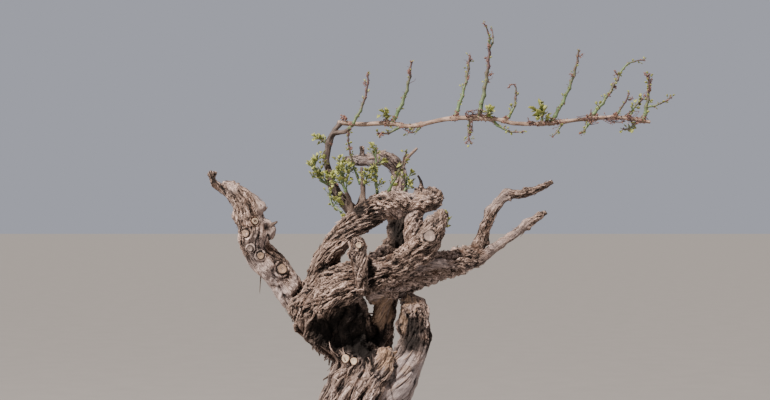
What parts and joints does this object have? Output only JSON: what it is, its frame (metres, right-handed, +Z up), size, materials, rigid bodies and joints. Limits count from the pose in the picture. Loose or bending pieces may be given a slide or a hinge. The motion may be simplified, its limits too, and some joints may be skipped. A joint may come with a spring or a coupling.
{
  "type": "old bush grapevine",
  "caption": "Old bush-trained grapevine: fluted shaggy trunk, gnarled pruned arms and one long thin cane with short stunted spring shoots and small leaf tufts.",
  "frame": {"origin": "middle of the flat cut under the trunk, at ground level", "axes": "+Z up, +X along the row of vines towards the tip of the long cane, -Y towards the side the picture was taken from"},
  "size_m": [0.8358, 0.2263, 0.9522],
  "materials": {
    "old_bark": "rough, shredding bark",
    "cane_bark": "smooth brown cane bark",
    "foliage": "matt leaves and green shoots"
  },
  "bodies": {
    "root": {"arch_peg": "old_bark", "arch_rise": "old_bark", "arch_small_spur": "cane_bark", "arch_spur": "cane_bark", "arch_top": "old_bark", "arm_leaf_cluster": "foliage", "back_arm": "old_bark", "back_arm_top": "old_bark", "back_peg": "old_bark", "back_tuft": "foliage", "back_twig": "cane_bark", "bridge_arm": "old_bark", "cane": "cane_bark", "cane_arm": "cane_bark", "cane_side_spur": "cane_bark", "cleft_stub": "old_bark", "front_arm": "old_bark", "front_stub": "old_bark", "knuckle_shoot": "foliage", "leaf_cluster_first": "foliage", "leaf_cluster_second": "foliage", "leaf_cluster_third": "foliage", "leaning_shoot": "foliage", "left_arm": "old_bark", "left_spur": "old_bark", "low_shoot_end": "foliage", "low_shoot_fifth": "foliage", "low_shoot_first": "foliage", "low_shoot_fourth": "foliage", "low_shoot_second": "foliage", "low_shoot_sixth": "foliage", "low_shoot_third": "foliage", "lower_left_tuft": "foliage", "middle_stem": "old_bark", "middle_tuft": "foliage", "right_arm": "old_bark", "right_lower_spur": "old_bark", "right_upper_spur": "old_bark", "shoot_first": "foliage", "shoot_hooked": "foliage", "shoot_last": "foliage", "shoot_leafy": "foliage", "shoot_second": "foliage", "shoot_seventh": "foliage", "shoot_short": "foliage", "shoot_sixth": "foliage", "shoot_tall": "foliage", "shoot_third": "foliage", "side_stub": "old_bark", "slender_shoot": "foliage", "spur_tuft": "foliage", "trunk": "old_bark", "upper_left_tuft": "foliage", "upright_tuft": "foliage"}
  },
  "joints": []
}
